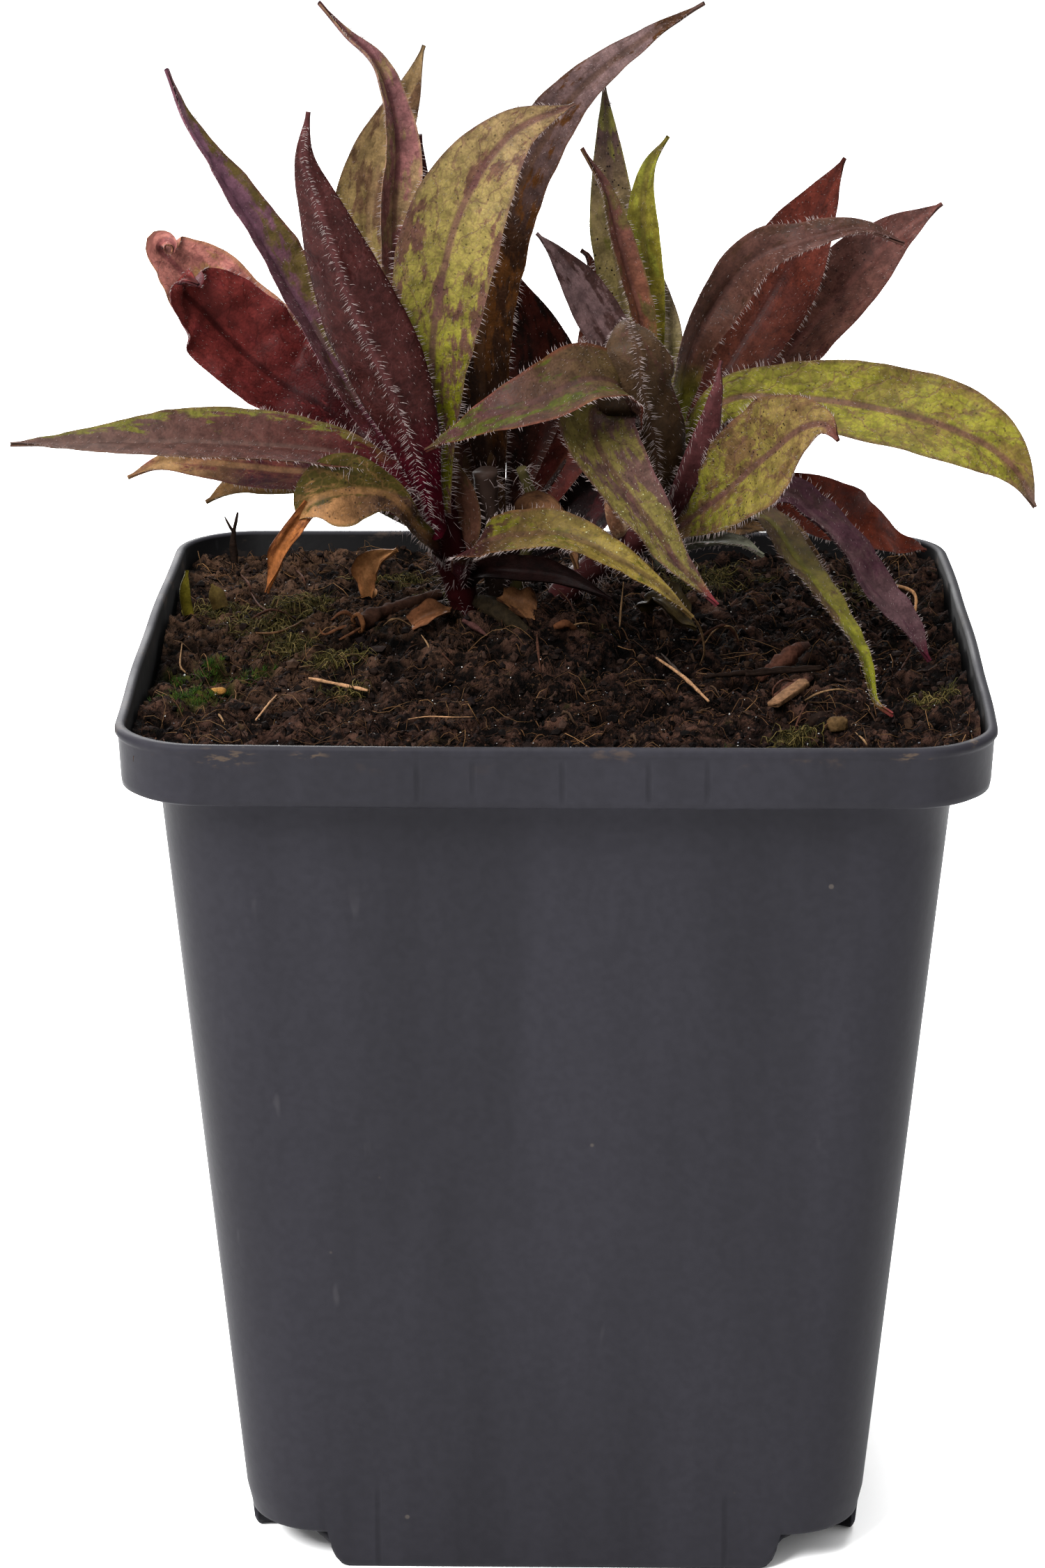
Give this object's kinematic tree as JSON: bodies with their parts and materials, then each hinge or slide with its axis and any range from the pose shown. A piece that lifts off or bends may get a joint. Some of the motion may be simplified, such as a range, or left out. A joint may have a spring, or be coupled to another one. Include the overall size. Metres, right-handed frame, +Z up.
{
  "type": "potted perennial plant",
  "caption": "Leafy perennial with long pointed, hairy purple and green leaves in tufts, growing in peat soil in a square black nursery pot that stands flat",
  "frame": {"origin": "centre of the pot's foot, on the plane that the pot stands on", "axes": "+Z up along the pot's axis, the front of the pot toward -Y, +X to the viewer's right"},
  "size_m": [0.1327, 0.111, 0.2014],
  "materials": {
    "pot": "charcoal, matte, lightly scuffed",
    "soil": "dark crumbly peat with fibres and moss",
    "leaf_purple": "hairy leaf, dull sheen",
    "leaf_brown": "hairy leaf, dull sheen",
    "leaf_green": "hairy leaf, dull sheen",
    "dry_leaf": "dry, wrinkled, matte",
    "seedling": "soft green, matte",
    "straw": "dry fibre, matte",
    "twig": "dark bark, matte",
    "bark": "rough, matte",
    "seed": "smooth husk"
  },
  "bodies": {
    "root": {"pot": "pot", "soil": "soil", "shoot_left": "leaf_purple", "shoot_back": "leaf_brown", "shoot_right": "leaf_green", "dry_leaf_front": "dry_leaf", "dry_leaf_under": "dry_leaf", "dry_leaf_left": "dry_leaf", "dry_scrap": "dry_leaf", "seedling_leaf": "seedling", "seedling_olive": "seedling", "straw_long": "straw", "straw_short": "straw", "straw_middle": "straw", "root_curled": "straw", "root_right": "straw", "twig_dark": "twig", "twig_upright": "twig", "dead_stem": "twig", "bark_chip": "bark", "tan_lump": "bark", "oval_seed": "seed"}
  },
  "joints": []
}
